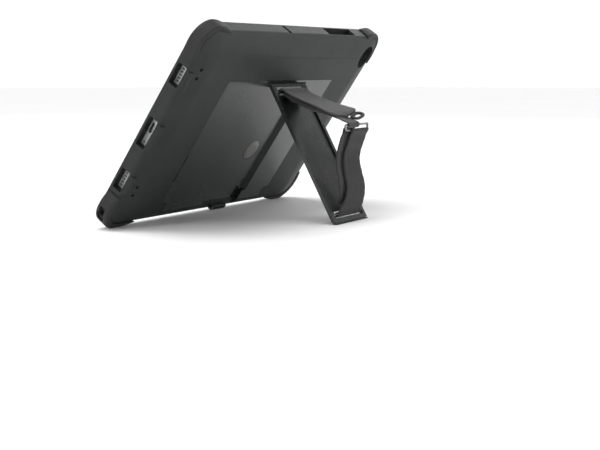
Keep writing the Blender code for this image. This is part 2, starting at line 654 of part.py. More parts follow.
def make_pull_tab():
    """Moulded rubber loop on the webbing's free end."""
    start, end = Vector((0.0514, 0.0427)), Vector((0.0580, 0.0502))
    length = (end - start).length
    outline = rounded_rect(0.0066, length / 2, 0.0045, steps=4)
    hole = rounded_rect(0.0036, length / 2 - 0.0028, 0.0018, (0, 0.0004), steps=3)
    tab = flat("pull_tab", [outline, hole], -0.0008, 0.0008, LEG, TPU_HARD)
    middle = (start + end) / 2
    run = end - start
    tab.matrix_basis = (Matrix.Translation((STRAP_X, -middle.x, -middle.y))
                        @ Matrix.Rotation(math.atan2(-run.y, -run.x), 4, "X")
                        @ Matrix.Rotation(TAB_TWIST, 4, "Y"))
    return tab


def make_ring():
    """Two-bar steel ring: webbing through it, elastic over its lower bar."""
    upper, lower = Vector(RING_TOP), Vector(RING_LOW)
    half, corner, steps = 0.0190, 0.0014, 4
    run = lower - upper
    flat_points = rounded_rect(half, run.length / 2, corner, steps=steps)
    middle, run = (upper + lower) / 2, run.normalized()
    curve = bpy.data.curves.new("buckle_ring", "CURVE")
    curve.dimensions = "3D"
    curve.bevel_depth = RING_WIRE
    curve.bevel_resolution = 2
    spline = curve.splines.new("POLY")
    spline.points.add(len(flat_points) - 1)
    for point, (x, along) in zip(spline.points, flat_points):
        place = middle + run * along
        point.co = (RING_X + x, -place.x, -place.y, 1)
    spline.use_cyclic_u = True
    ring = bpy.data.objects.new("buckle_ring", curve)
    ring.parent = LEG
    curve.materials.append(STEEL)
    PARTS.objects.link(ring)


# ---------------------------------------------------------------- tablet
def make_housing():
    """Aluminium tub with openings for the port, speakers, keys and rear camera."""
    top = TABLET_Z + TABLET_T - GLASS_T - GAP
    floor = TABLET_Z + 0.0010
    wall = 0.0013
    tub = loft("tablet_housing", [
        outline_section(TABLET_X - 0.0008, TABLET_Y - 0.0008, TABLET_R - 0.0008, TABLET_Z),
        outline_section(TABLET_X, TABLET_Y, TABLET_R, TABLET_Z + 0.0008),
        outline_section(TABLET_X, TABLET_Y, TABLET_R, top),
        outline_section(TABLET_X - wall, TABLET_Y - wall, TABLET_R - wall, top),
        outline_section(TABLET_X - wall, TABLET_Y - wall, TABLET_R - wall, floor),
    ], CASE, ALUMINIUM)
    port_z = TABLET_Z + TABLET_T / 2
    ends = (TABLET_X - 0.003, TABLET_X + 0.003)
    port = box("port_hole", (ends[0], PORT_Y - 0.0046, port_z - 0.0016),
               (ends[1], PORT_Y + 0.0046, port_z + 0.0016), CASE)
    bevel(port, 0.0014, 3)
    boolean(tub, port)
    boolean(tub, rod("mic_hole", 0.0006, (ends[0], -0.0155, port_z),
                     (ends[1], -0.0155, port_z), CASE, sides=8))
    for side in (-1, 1):
        for y_mid in SPEAKER_Y:
            for k in range(6):
                y = y_mid + (k - 2.5) * 0.0027
                boolean(tub, box("grille_%d_%d_%d" % (side, round(y_mid * 1000), k),
                                 (side * ends[0], y - 0.0006, port_z - 0.0013),
                                 (side * ends[1], y + 0.0006, port_z + 0.0013), CASE))
    for x, half in (POWER_KEY, VOLUME_KEY):
        boolean(tub, box("key_slot_%d" % round(-x * 1000),
                         (x - half - GAP, TABLET_Y - 0.003, port_z - 0.0013 - GAP),
                         (x + half + GAP, TABLET_Y + 0.003, port_z + 0.0013 + GAP), CASE))
    boolean(tub, rod("lens_hole", 0.0050, (CAMERA[0], CAMERA[1], TABLET_Z - 0.003),
                     (CAMERA[0], CAMERA[1], TABLET_Z + 0.003), CASE, sides=24))
    return tub


def make_keys():
    """Power key, volume rocker and the strip of dome switches behind them."""
    port_z = TABLET_Z + TABLET_T / 2
    for name, (x, half) in (("power_key", POWER_KEY), ("volume_key", VOLUME_KEY)):
        key = box(name, (x - half, TABLET_Y - 0.0020, port_z - 0.0013),
                  (x + half, TABLET_Y + 0.0006, port_z + 0.0013), CASE, ALUMINIUM)
        bevel(key, 0.0004, 2)
    box("key_switch_strip", (-0.0850, TABLET_Y - 0.0034, port_z - 0.0016),
        (-0.0440, TABLET_Y - 0.0026, port_z + 0.0014), CASE, BOARD)


def make_screen():
    """Cover glass and the display panel bonded under it."""
    top = TABLET_Z + TABLET_T
    glass = flat("cover_glass", [rounded_rect(TABLET_X - 0.0003, TABLET_Y - 0.0003,
                                              TABLET_R - 0.0003)],
                 top - GLASS_T, top, CASE, GLASS)
    bevel(glass, 0.0003, 1)
    box("display_panel", (-0.1200, -0.0760, top - GLASS_T - 0.0020),
        (0.1200, 0.0760, top - GLASS_T - GAP), CASE, DISPLAY)
    box("front_camera", (-0.0030, 0.0775, top - GLASS_T - 0.0034),
        (0.0030, 0.0815, top - GLASS_T - GAP), CASE, DARK)


def make_inside():
    """Batteries, boards, socket, speakers and rear camera inside the tub."""
    low = TABLET_Z + 0.0010 + GAP
    high = low + 0.0024
    box("battery_left", (-0.0580, -0.0680, low), (0.0080, 0.0560, high), CASE, CELL)
    box("battery_right", (0.0100, -0.0680, low), (0.0760, 0.0560, high), CASE, CELL)
    main_board = [(-0.1060, 0.0560), (-0.1060, -0.0100), (-0.0620, -0.0100), (-0.0620, 0.0590),
                  (0.0700, 0.0590), (0.0700, 0.0740), (-0.1000, 0.0740), (-0.1000, 0.0560)]
    flat("main_board", [main_board], low, low + 0.0010, CASE, BOARD)
    box("board_shield", (-0.1030, -0.0060, low + 0.0010 + GAP), (-0.0650, 0.0500, high),
        CASE, SHIELD)
    port_z = TABLET_Z + TABLET_T / 2
    box("port_board", (0.0860, -0.0350, low), (0.1130, 0.0350, low + 0.0008), CASE, BOARD)
    socket = box("usb_c_socket", (0.1205, PORT_Y - 0.0044, port_z - 0.0015),
                 (TABLET_X - 0.0003, PORT_Y + 0.0044, port_z + 0.0015), CASE, STEEL)
    bevel(socket, 0.0012, 3)
    mouth = box("socket_mouth", (0.1218, PORT_Y - 0.0040, port_z - 0.0011),
                (TABLET_X + 0.001, PORT_Y + 0.0040, port_z + 0.0011), CASE)
    bevel(mouth, 0.0009, 3)
    boolean(socket, mouth)
    boolean(socket, box("socket_tongue", (0.1210, PORT_Y - 0.0033, port_z - 0.00035),
                        (TABLET_X - 0.0010, PORT_Y + 0.0033, port_z + 0.00035), CASE), "UNION")
    for side, side_name in ((1, "right"), (-1, "left")):
        for y_mid, level in zip(SPEAKER_Y, ("top", "low")):
            box("speaker_%s_%s" % (level, side_name),
                (side * 0.1205, y_mid - 0.0100, low), (side * 0.1266, y_mid + 0.0100, low + 0.0036),
                CASE, DARK)
    box("rear_camera", (CAMERA[0] - 0.0050, CAMERA[1] - 0.0050, low + 0.0008),
        (CAMERA[0] + 0.0050, CAMERA[1] + 0.0050, low + 0.0025), CASE, DARK)
    rod("camera_window", 0.0047, (CAMERA[0], CAMERA[1], TABLET_Z - 0.0006),
        (CAMERA[0], CAMERA[1], TABLET_Z + 0.0012), CASE, GLASS, sides=24)


def stand_on_origin():
    """Slide the whole part so that the world origin is the middle of its footprint."""
    graph = bpy.context.evaluated_depsgraph_get()
    depths = []
    for obj in PARTS.objects:
        shown = obj.evaluated_get(graph)
        mesh = shown.to_mesh()
        depths += [(shown.matrix_world @ vert.co).y for vert in mesh.vertices]
        shown.to_mesh_clear()
    GROUND.location.y = -(min(depths) + max(depths)) / 2


def main():
    shell = make_case_shell()
    make_bumpers(shell)
    make_back_panel()
    make_bottom_loop()
    make_shock_frame()
    make_centre_pad()
    make_leg()
    make_foot_pad()
    make_webbing()
    make_elastic()
    make_pull_tab()
    make_ring()
    make_housing()
    make_keys()
    make_screen()
    make_inside()
    stand_on_origin()


main()
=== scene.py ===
"""Looks for the tablet data collector: fine meshes, procedural materials, light, camera.

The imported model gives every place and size.  The case frame (X along the long
side, Y up the short side, Z out of the screen) and the leg frame are found from
the joints, and each fine piece is built in one of them.
"""
import json
import math
import random

import bmesh
import bpy
from mathutils import Matrix, Vector


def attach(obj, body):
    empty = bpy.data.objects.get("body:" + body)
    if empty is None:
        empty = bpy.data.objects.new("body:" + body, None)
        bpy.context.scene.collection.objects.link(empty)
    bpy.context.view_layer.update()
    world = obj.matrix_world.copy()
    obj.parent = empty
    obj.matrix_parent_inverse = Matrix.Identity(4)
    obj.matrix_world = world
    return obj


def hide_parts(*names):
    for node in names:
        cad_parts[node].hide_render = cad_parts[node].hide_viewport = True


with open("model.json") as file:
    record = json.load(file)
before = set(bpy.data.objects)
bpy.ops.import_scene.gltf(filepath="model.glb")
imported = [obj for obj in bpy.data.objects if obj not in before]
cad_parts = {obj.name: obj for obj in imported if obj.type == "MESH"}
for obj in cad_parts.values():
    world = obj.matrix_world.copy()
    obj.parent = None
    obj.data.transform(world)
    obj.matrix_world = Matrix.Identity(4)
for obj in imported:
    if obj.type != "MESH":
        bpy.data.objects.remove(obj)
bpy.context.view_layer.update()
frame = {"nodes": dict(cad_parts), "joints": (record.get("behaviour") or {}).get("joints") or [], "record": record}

NODES = frame["nodes"]
RECORD = frame["record"]
SLOT = {row["node"]: row["material_slot"] for row in RECORD["subparts"]}
BODY = {node: body for body, nodes in RECORD["behaviour"]["bodies"].items()
        for node in nodes}
JOINTS = {joint["name"]: joint for joint in frame["joints"]}
random.seed(7)

# ---------------------------------------------------------------- sizes of the part
CASE_X, CASE_Y, CASE_R = 0.136, 0.092, 0.016
RIM_Z, BACK_Z, FLOOR_Z = 0.015, -0.0025, 0.003
TABLET_X, TABLET_Y, TABLET_Z, TABLET_R = 0.1285, 0.08435, 0.0070, 0.0085
RIM_CLEAR = 0.0008
GAP = 0.0003
PANEL_X, PANEL_TOP, PANEL_BOTTOM, PANEL_IN = 0.081, 0.0486, -0.0825, 0.0019
LEG_X, LEG_T = -0.010, 0.0030
HINGE_LOCAL = Vector((LEG_X, 0.0445, BACK_Z + LEG_T / 2))
POCKET_Z = HINGE_LOCAL.z + LEG_T / 2 + 0.0006
CAMERA_HOLE = (-0.1215, 0.0720)
STRAP_T, STRAP_X, BAR_R, BAR_Z = 0.0012, -0.0015, 0.0008, -0.0002
SLOT_TOP, SLOT_LOW = 0.0075, 0.1215
RING_TOP, RING_LOW = (0.0602, 0.0418), (0.0641, 0.0397)
RING_X, RING_WIRE = -0.0030, 0.0010
TAB_TWIST = math.radians(20)

# ---------------------------------------------------------------- frames
HINGE = Vector(JOINTS["stand_hinge"]["pos_m"])
OUT_OF_SCREEN = Vector(JOINTS["tablet_release"]["axis"])
TILT = math.atan2(-OUT_OF_SCREEN.y, OUT_OF_SCREEN.z)
LEG_OPEN = -math.radians(JOINTS["stand_hinge"]["range_deg"][0])
CASE_TURN = Matrix.Rotation(TILT, 4, "X")
CASE_M = Matrix.Translation(HINGE - CASE_TURN @ HINGE_LOCAL) @ CASE_TURN
LEG_M = Matrix.Translation(HINGE) @ Matrix.Rotation(TILT + LEG_OPEN, 4, "X")
WORLD_M = Matrix.Identity(4)
FRAME_OF = {"case": CASE_M, "stand": LEG_M, "tablet": CASE_M, "power_key": CASE_M,
            "volume_key": CASE_M}


# ---------------------------------------------------------------- node materials
WAVE_UNIT = 2 * math.pi / 20      # wave texture scale that gives one band a metre


class Paint:
    """Small helper that wires up one Principled material."""

    def __init__(self, name, colour, rough, metallic=0.0, **constants):
        self.mat = bpy.data.materials.new(name)
        self.mat.use_nodes = True
        self.nodes = self.mat.node_tree.nodes
        self.links = self.mat.node_tree.links
        self.shader = self.nodes["Principled BSDF"]
        self.shader.inputs["Base Color"].default_value = (*colour, 1.0)
        self.shader.inputs["Roughness"].default_value = rough
        self.shader.inputs["Metallic"].default_value = metallic
        for key, value in constants.items():
            self.shader.inputs[key.replace("_", " ")].default_value = value
        self.coords = self.nodes.new("ShaderNodeTexCoord")

    def mapped(self, scale, source="Object"):
        node = self.nodes.new("ShaderNodeMapping")
        node.inputs["Scale"].default_value = scale
        self.links.new(self.coords.outputs[source], node.inputs["Vector"])
        return node.outputs["Vector"]

    def noise(self, scale, detail=3.0, stretch=(1, 1, 1), rough=0.55):
        node = self.nodes.new("ShaderNodeTexNoise")
        node.inputs["Scale"].default_value = scale
        node.inputs["Detail"].default_value = detail
        node.inputs["Roughness"].default_value = rough
        self.links.new(self.mapped(stretch), node.inputs["Vector"])
        return node.outputs["Fac"]

    def cells(self, scale, feature="F1"):
        node = self.nodes.new("ShaderNodeTexVoronoi")
        node.feature = feature
        node.inputs["Scale"].default_value = scale
        self.links.new(self.mapped((1, 1, 1)), node.inputs["Vector"])
        return node.outputs["Distance"]

    def bands(self, direction, per_metre, source="UV", distortion=0.0):
        node = self.nodes.new("ShaderNodeTexWave")
        node.bands_direction = direction
        node.inputs["Scale"].default_value = per_metre * WAVE_UNIT
        node.inputs["Distortion"].default_value = distortion
        node.inputs["Detail"].default_value = 1.0
        self.links.new(self.mapped((1, 1, 1), source), node.inputs["Vector"])
        return node.outputs["Fac"]

    def math(self, kind, a, b):
        node = self.nodes.new("ShaderNodeMath")
        node.operation = kind
        for socket, value in zip(node.inputs, (a, b)):
            if isinstance(value, (int, float)):
                socket.default_value = value
            else:
                self.links.new(value, socket)
        return node.outputs[0]

    def ramp(self, factor, stops):
        node = self.nodes.new("ShaderNodeValToRGB")
        ramp = node.color_ramp
        while len(ramp.elements) < len(stops):
            ramp.elements.new(0.5)
        for element, (place, colour) in zip(ramp.elements, stops):
            element.position = place
            element.color = (*colour, 1.0)
        self.links.new(factor, node.inputs["Fac"])
        return node.outputs["Color"]

    def spread(self, factor, low, high, start=0.0, end=1.0):
        node = self.nodes.new("ShaderNodeMapRange")
        node.inputs["From Min"].default_value = start
        node.inputs["From Max"].default_value = end
        node.inputs["To Min"].default_value = low
        node.inputs["To Max"].default_value = high
        self.links.new(factor, node.inputs["Value"])
        return node.outputs["Result"]

    def colour(self, output):
        self.links.new(output, self.shader.inputs["Base Color"])

    def roughness(self, output):
        self.links.new(output, self.shader.inputs["Roughness"])

    def bump(self, *heights):
        """Stacked bump nodes from (height, strength, distance) in metres."""
        normal = None
        for height, strength, distance in heights:
            node = self.nodes.new("ShaderNodeBump")
            node.inputs["Strength"].default_value = strength
            node.inputs["Distance"].default_value = distance
            self.links.new(height, node.inputs["Height"])
            if normal is not None:
                self.links.new(normal, node.inputs["Normal"])
            normal = node.outputs["Normal"]
        self.links.new(normal, self.shader.inputs["Normal"])


def scaled(colour, factor):
    return tuple(channel * factor for channel in colour)


def rubber(name, colour, rough, sheen=0.0, level=0.22):
    """Moulded rubber: cloudy colour, fine spark-eroded grain, a few scuffs."""
    paint = Paint(name, colour, rough, Sheen_Weight=sheen, Sheen_Roughness=0.6,
                  Specular_IOR_Level=level)
    cloud = paint.noise(38.0, 4.0)
    scuff = paint.noise(900.0, 5.0, (1, 0.25, 1), 0.7)
    tint = paint.math("ADD", paint.math("MULTIPLY", cloud, 0.75),
                      paint.math("MULTIPLY", scuff, 0.25))
    paint.colour(paint.ramp(tint, [(0.30, scaled(colour, 0.84)), (0.52, colour),
                                   (0.72, scaled(colour, 1.20))]))
    paint.roughness(paint.spread(scuff, rough - 0.07, rough + 0.10, 0.3, 0.7))
    grain = paint.noise(3400.0, 2.0)
    pores = paint.cells(2300.0)
    paint.bump((grain, 0.30, 0.00010), (pores, 0.12, 0.00008), (cloud, 0.25, 0.00025))
    return paint.mat


def gloss(name, colour, rough, smear=0.09):
    """Injection-moulded glossy plastic with a slightly wavy skin and handling smears."""
    paint = Paint(name, colour, rough, IOR=1.50, Coat_Weight=0.25, Coat_Roughness=0.10)
    smears = paint.noise(26.0, 5.0, (1, 0.45, 1), 0.62)
    dust = paint.noise(1500.0, 2.0)
    paint.roughness(paint.math("ADD", paint.spread(smears, rough - smear * 0.4,
                                                   rough + smear, 0.35, 0.68),
                               paint.spread(dust, 0.0, 0.05, 0.55, 0.8)))
    paint.colour(paint.ramp(smears, [(0.3, scaled(colour, 0.9)), (0.7, scaled(colour, 1.15))]))
    paint.bump((paint.noise(60.0, 1.0), 0.08, 0.00012))
    return paint.mat


def metal(name, colour, rough, stretch=(1, 1, 1), scale=1800.0):
    paint = Paint(name, colour, rough, 1.0)
    grain = paint.noise(scale, 3.0, stretch)
    cloud = paint.noise(45.0, 2.0)
    paint.roughness(paint.spread(grain, rough * 0.7, rough * 1.4, 0.3, 0.7))
    paint.colour(paint.ramp(cloud, [(0.3, scaled(colour, 0.93)), (0.7, scaled(colour, 1.04))]))
    paint.bump((grain, 0.12, 0.00005))
    return paint.mat


def anodised(name, colour):
    """Bead-blasted, anodised aluminium: pale, even, hardly mirror-like."""
    paint = Paint(name, colour, 0.50, 0.55)
    grain = paint.noise(5200.0, 2.0)
    cloud = paint.noise(40.0, 2.0)
    paint.roughness(paint.spread(grain, 0.44, 0.58, 0.3, 0.7))
    paint.colour(paint.ramp(cloud, [(0.3, scaled(colour, 0.95)), (0.7, scaled(colour, 1.03))]))
    paint.bump((grain, 0.10, 0.00003))
    return paint.mat


def woven(name, colour, rib, pick, fuzz):
    """Narrow fabric, woven along its own length and width (UV in metres)."""
    paint = Paint(name, colour, 0.93, Sheen_Weight=0.35 if fuzz else 0.18,
                  Sheen_Roughness=0.5, Specular_IOR_Level=0.25)
    warp = paint.bands("X", 1 / rib, distortion=0.8)
    weft = paint.bands("Y", 1 / pick, distortion=0.8)
    yarn = paint.math("MULTIPLY", warp, weft)
    lint = paint.noise(2600.0, 4.0, rough=0.7)
    worn = paint.noise(120.0, 3.0)
    tint = paint.math("ADD", paint.math("MULTIPLY", yarn, 0.35),
                      paint.math("ADD", paint.math("MULTIPLY", lint, 0.4),
                                 paint.math("MULTIPLY", worn, 0.25)))
    paint.colour(paint.ramp(tint, [(0.22, scaled(colour, 0.45)), (0.46, colour),
                                   (0.78, scaled(colour, 1.9))]))
    paint.bump((yarn, 0.55, 0.00030), (lint, 0.45 if fuzz else 0.25, 0.00025))
    return paint.mat


def foam_look(name, colour):
    paint = Paint(name, colour, 0.97, Sheen_Weight=0.2, Sheen_Roughness=0.7)
    cells = paint.cells(1500.0)
    cloud = paint.noise(70.0, 3.0)
    paint.colour(paint.ramp(cloud, [(0.3, scaled(colour, 0.8)), (0.7, scaled(colour, 1.3))]))
    paint.bump((cells, 0.8, 0.00035))
    return paint.mat


def gel_look(name, colour):
    paint = Paint(name, colour, 0.38, Subsurface_Weight=0.25, Subsurface_Scale=0.002,
                  IOR=1.42)
    cloud = paint.noise(60.0, 2.0)
    paint.colour(paint.ramp(cloud, [(0.3, scaled(colour, 0.88)), (0.7, scaled(colour, 1.08))]))
    paint.roughness(paint.spread(paint.noise(900.0), 0.30, 0.46))
    paint.bump((paint.noise(240.0, 2.0), 0.25, 0.0002))
    return paint.mat


def screen_look(name):
    """Cover glass over a dark display: printed border, faintly lighter active area."""
    paint = Paint(name, (0.004, 0.004, 0.005), 0.05, IOR=1.52, Coat_Weight=0.6,
                  Coat_Roughness=0.02)
    split = paint.nodes.new("ShaderNodeSeparateXYZ")
    paint.links.new(paint.coords.outputs["Object"], split.inputs[0])
    active_x, active_y = 0.1185, 0.0745
    inside = None
    for axis, limit in (("X", active_x), ("Y", active_y)):
        reach = paint.math("ABSOLUTE", split.outputs[axis], 0.0)
        part = paint.math("LESS_THAN", reach, limit)
        inside = part if inside is None else paint.math("MULTIPLY", inside, part)
    paint.colour(paint.ramp(inside, [(0.0, (0.003, 0.003, 0.0035)),
                                     (1.0, (0.012, 0.012, 0.014))]))
    paint.roughness(paint.spread(paint.noise(22.0, 5.0, rough=0.65), 0.03, 0.12, 0.4, 0.75))
    return paint.mat


def board_look(name, colour):
    paint = Paint(name, colour, 0.42, IOR=1.5)
    tracks = paint.cells(420.0, "DISTANCE_TO_EDGE")
    paint.colour(paint.ramp(tracks, [(0.02, scaled(colour, 2.2)), (0.06, colour)]))
    paint.bump((tracks, 0.2, 0.0001))
    return paint.mat


MAKERS = {
    "case_rubber": lambda: rubber("case_rubber", (0.022, 0.024, 0.024), 0.55),
    "bumper_rubber": lambda: rubber("bumper_rubber", (0.024, 0.024, 0.0235), 0.58),
    "gloss_panel": lambda: gloss("gloss_panel", (0.010, 0.012, 0.012), 0.20),
    "leg_plastic": lambda: gloss("leg_plastic", (0.011, 0.013, 0.013), 0.24),
    "steel": lambda: metal("steel", (0.21, 0.21, 0.205), 0.28, (1, 6, 1)),
    "webbing": lambda: woven("webbing", (0.008, 0.008, 0.009), 0.0011, 0.0009, True),
    "elastic": lambda: woven("elastic", (0.018, 0.018, 0.0175), 0.0014, 0.0007, False),
    "inner_plastic": lambda: rubber("inner_plastic", (0.17, 0.17, 0.175), 0.48, 0.0),
    "gel_blue": lambda: gel_look("gel_blue", (0.30, 0.56, 0.86)),
    "foam": lambda: foam_look("foam", (0.060, 0.054, 0.048)),
    "aluminium": lambda: anodised("aluminium", (0.50, 0.50, 0.49)),
    "glass": lambda: screen_look("cover_glass"),
    "display": lambda: gloss("display", (0.012, 0.012, 0.014), 0.12),
    "cell": lambda: metal("battery_wrap", (0.09, 0.09, 0.095), 0.40),
    "circuit_board": lambda: board_look("circuit_board", (0.012, 0.070, 0.036)),
    "shield_can": lambda: metal("shield_can", (0.58, 0.58, 0.57), 0.30),
    "dark_plastic": lambda: rubber("dark_plastic", (0.018, 0.018, 0.018), 0.42, 0.0),
}
MATERIALS = {slot: make() for slot, make in MAKERS.items()}


# ---------------------------------------------------------------- mesh helpers
def new_piece(name, mesh, matrix):
    """Object whose mesh is in a local frame; matrix places that frame."""
    obj = bpy.data.objects.new(name, mesh)
    bpy.context.scene.collection.objects.link(obj)
    obj.matrix_world = matrix
    return obj


def from_bmesh(bm, name):
    bm.normal_update()
    bmesh.ops.recalc_face_normals(bm, faces=bm.faces)
    if bm.calc_volume(signed=True) < 0:
        bmesh.ops.reverse_faces(bm, faces=bm.faces)
    mesh = bpy.data.meshes.new(name)
    bm.to_mesh(mesh)
    bm.free()
    return mesh


def shade(obj, angle=32):
    obj.data.shade_smooth()
    obj.data.set_sharp_from_angle(angle=math.radians(angle))


def finish(obj, *nodes, slot=None, body=None):
    """Give a fine piece the material, slot and body of the CAD nodes it stands for."""
    slot = slot or SLOT[nodes[0]]
    if "cover_glass" not in nodes:
        obj.data.transform(obj.matrix_basis)
        obj.matrix_basis = WORLD_M
    obj.data.materials.clear()
    obj.data.materials.append(MATERIALS[slot])
    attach(obj, body or BODY[nodes[0]])
    if nodes:
        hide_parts(*nodes)
    return obj


def rounded_rect(half_x, half_y, radius, centre=(0, 0), steps=14):
    points = []
    for corner, (sx, sy) in enumerate(((1, 1), (-1, 1), (-1, -1), (1, -1))):
        cx = centre[0] + sx * (half_x - radius)
        cy = centre[1] + sy * (half_y - radius)
        for step in range(steps + 1):
            angle = math.pi / 2 * (corner + step / steps)
            points.append((cx + radius * math.cos(angle), cy + radius * math.sin(angle)))
    return points


def loft(name, rings, caps=True):
    """Mesh through equal-length rings of 3-D points."""
    bm = bmesh.new()
    rows = [[bm.verts.new(point) for point in ring] for ring in rings]
    count = len(rows[0])
    for lower, upper in zip(rows, rows[1:]):
        for i in range(count):
            j = (i + 1) % count
            bm.faces.new((lower[i], lower[j], upper[j], upper[i]))
    if caps:
        bm.faces.new(rows[0])
        bm.faces.new(rows[-1])
    return from_bmesh(bm, name)


def fillet(corners, steps=4):
    """Closed 2-D outline from (x, y, radius) corners, each radius drawn as an arc."""
    points = []
    count = len(corners)
    for i, (x, y, radius) in enumerate(corners):
        here = Vector((x, y))
        before = (Vector(corners[i - 1][:2]) - here)
        after = (Vector(corners[(i + 1) % count][:2]) - here)
        if radius <= 0:
            points.append((x, y))
            continue
        half = before.angle(after) / 2
        reach = min(radius / math.tan(half), before.length * 0.45, after.length * 0.45)
        start = here + before.normalized() * reach
        end = here + after.normalized() * reach
        for k in range(steps + 1):
            t = k / steps
            spot = start * (1 - t) ** 2 + here * 2 * t * (1 - t) + end * t ** 2
            points.append((spot.x, spot.y))
    return points


def prism(name, outline, low, high, matrix=WORLD_M):
    rings = [[(x, y, z) for x, y in outline] for z in (low, high)]
    return new_piece(name, loft(name, rings), matrix)


def block(low, high, matrix, radius=0.0):
    """Cutter box, with corners rounded in its own X-Y plane if radius is given."""
    low, high = Vector(low), Vector(high)
    half, middle = (high - low) / 2, (high + low) / 2
    if radius:
        outline = rounded_rect(half.x, half.y, radius, (middle.x, middle.y), 6)
    else:
        outline = [(low.x, low.y), (high.x, low.y), (high.x, high.y), (low.x, high.y)]
    return prism("cutter", outline, low.z, high.z, matrix)


def tube(radius, start, end, matrix, sides=40, end_radius=None):
    start, end = Vector(start), Vector(end)
    last = radius if end_radius is None else end_radius
    bm = bmesh.new()
    bmesh.ops.create_cone(bm, cap_ends=True, segments=sides, radius1=radius,
                          radius2=last, depth=(end - start).length)
    turn = (end - start).to_track_quat("Z", "Y").to_matrix().to_4x4()
    bm.transform(Matrix.Translation((start + end) / 2) @ turn)
    return new_piece("cutter", from_bmesh(bm, "cutter"), matrix)


def carve(obj, *cutters, operation="DIFFERENCE"):
    """Apply boolean cuts, then delete the cutters."""
    for cutter in cutters:
        mod = obj.modifiers.new("cut", "BOOLEAN")
        mod.operation = operation
        mod.solver = "EXACT"
        mod.object = cutter
    bake(obj)
    for cutter in cutters:
        bpy.data.objects.remove(cutter, do_unlink=True)
    return obj


def bake(obj):
    """Replace the mesh by its evaluated form, with no modifiers left."""
    bpy.context.view_layer.update()
    graph = bpy.context.evaluated_depsgraph_get()
    mesh = bpy.data.meshes.new_from_object(obj.evaluated_get(graph))
    obj.modifiers.clear()
    obj.data = mesh


def soften(obj, width, segments=2, angle=30):
    """Round every edge that is sharper than the angle."""
    bm = bmesh.new()
    bm.from_mesh(obj.data)
    bmesh.ops.remove_doubles(bm, verts=bm.verts, dist=2e-6)
    bmesh.ops.dissolve_limit(bm, angle_limit=math.radians(1.0), verts=bm.verts,
                             edges=bm.edges, delimit=set())
    sharp = [e for e in bm.edges
             if len(e.link_faces) == 2 and e.calc_face_angle(0) > math.radians(angle)]
    bmesh.ops.bevel(bm, geom=sharp, offset=width, segments=segments, profile=0.5,
                    affect="EDGES", clamp_overlap=True)
    bm.to_mesh(obj.data)
    bm.free()
    shade(obj)
    level = obj.modifiers.new("flat_faces", "WEIGHTED_NORMAL")
    level.keep_sharp = True
    bake(obj)
    return obj


def refined(node, width=0.0003, segments=2, matrix=None, angle=30):
    """Copy of a CAD node in its body's local frame, with its edges rounded."""
    matrix = matrix or FRAME_OF[BODY[node]]
    source = NODES[node].data
    mesh = bpy.data.meshes.new(node + "_fine")
    mesh.from_pydata([v.co.copy() for v in source.vertices], [],
                     [tuple(p.vertices) for p in source.polygons])
    mesh.transform(matrix.inverted())
    obj = new_piece(node + "_fine", mesh, matrix)
    soften(obj, width, segments, angle)
    return finish(obj, node)


# ---------------------------------------------------------------- case
def ring_at(half_x, half_y, radius, z, centre=(0, 0)):
    return [(x, y, z) for x, y in rounded_rect(half_x, half_y, radius, centre)]


def back_rings():
    """From the flat middle of the back, softly down to the side wall."""
    rings = []
    steps = 8
    for k in range(steps + 1):
        t = k / steps
        ease = t * t * (1.6 - 0.6 * t)
        rings.append(ring_at(0.114 + 0.0185 * t, 0.0775 + 0.0110 * t, 0.010 + 0.003 * t,
                             BACK_Z + 0.0033 * ease, (0, -0.0065 * (1 - t))))
    return rings


def wall_rings():
    rings = []
    steps = 5
    for k in range(1, steps + 1):
        turn = math.pi / 2 * k / steps
        inset = 0.0035 * (1 - math.sin(turn))
        rings.append(ring_at(CASE_X - inset, CASE_Y - inset, CASE_R - inset * 0.8,
                             0.0042 - 0.0034 * math.cos(turn)))
    for k in range(steps + 1):
        turn = math.pi / 2 * k / steps
        inset = 0.0014 * (1 - math.cos(turn))
        rings.append(ring_at(CASE_X - inset, CASE_Y - inset, CASE_R - inset * 0.8,
                             RIM_Z - 0.0010 + 0.0010 * math.sin(turn)))
    return rings


def inside_rings():
    in_x, in_y, in_r = TABLET_X + RIM_CLEAR, TABLET_Y + RIM_CLEAR, TABLET_R + RIM_CLEAR
    return [ring_at(in_x + 0.0008, in_y + 0.0008, in_r + 0.0005, RIM_Z),
            ring_at(in_x + 0.0002, in_y + 0.0002, in_r + 0.0002, RIM_Z - 0.0004),
            ring_at(in_x, in_y, in_r, RIM_Z - 0.0009),
            ring_at(in_x, in_y, in_r, TABLET_Z - 0.0002),
            ring_at(in_x - 0.002, in_y - 0.002, in_r - 0.001, TABLET_Z - 0.0008),
            ring_at(0.086, 0.054, 0.008, FLOOR_Z)]


def panel_outline(grow=0.0):
    x, top, low = PANEL_X + grow, PANEL_TOP + grow, PANEL_BOTTOM - grow
    return [(x, top), (-x, top), (-x, -0.0710), (-x + 0.0075, -0.0728),
            (-x + 0.0075, low), (x - 0.0075, low), (x - 0.0075, -0.0728), (x, -0.0710)]


def anchor_cutter(sx, sy):
    """Straight tunnel across a corner, for a shoulder-strap cord."""
    centre = Vector((sx * (CASE_X - CASE_R), sy * (CASE_Y - CASE_R), 0.0075))
    middle = centre + Vector((sx, sy, 0)).normalized() * 0.0165
    matrix = CASE_M @ Matrix.Translation(middle) @ Matrix.Rotation(
        math.atan2(sy, sx), 4, "Z") @ Matrix.Rotation(math.pi / 2, 4, "X")
    outline = rounded_rect(0.0018, 0.0030, 0.0008, steps=4)
    return prism("cutter", outline, -0.018, 0.018, matrix)


